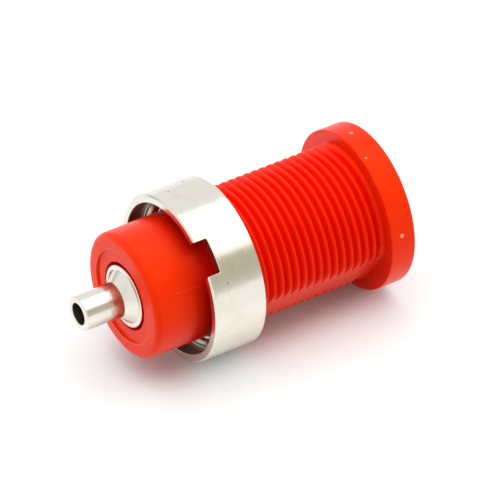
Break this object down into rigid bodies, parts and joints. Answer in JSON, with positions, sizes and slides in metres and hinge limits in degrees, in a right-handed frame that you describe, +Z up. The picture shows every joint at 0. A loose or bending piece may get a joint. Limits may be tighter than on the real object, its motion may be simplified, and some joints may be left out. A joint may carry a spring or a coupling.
{
  "type": "banana socket",
  "caption": "Panel socket for a shrouded banana plug: flanged, threaded plastic body around a tubular metal contact with a solder tail, clamped to a panel by a slotted ring nut.",
  "frame": {"origin": "centre of the flange's back face, which seats on the front of the panel", "axes": "+Y along the socket's axis from the mouth to the solder tail, so the mouth faces -Y; +Z up, with the flats and the nut's slots turned about the axis as they lie in the picture"},
  "size_m": [0.0144, 0.0281, 0.0144],
  "materials": {
    "red_plastic": "moulded, satin gloss",
    "contact_nickel": "nickel plated, turned",
    "nut_nickel": "nickel plated, satin"
  },
  "bodies": {
    "socket": {"socket_body": "red_plastic", "contact": "contact_nickel"},
    "nut": {"ring_nut": "nut_nickel"}
  },
  "joints": [
    {"name": "nut_travel", "type": "slide", "parent": "socket", "child": "nut", "axis": [0, 1, 0], "range_m": [-0.01125, 0.015]}
  ]
}
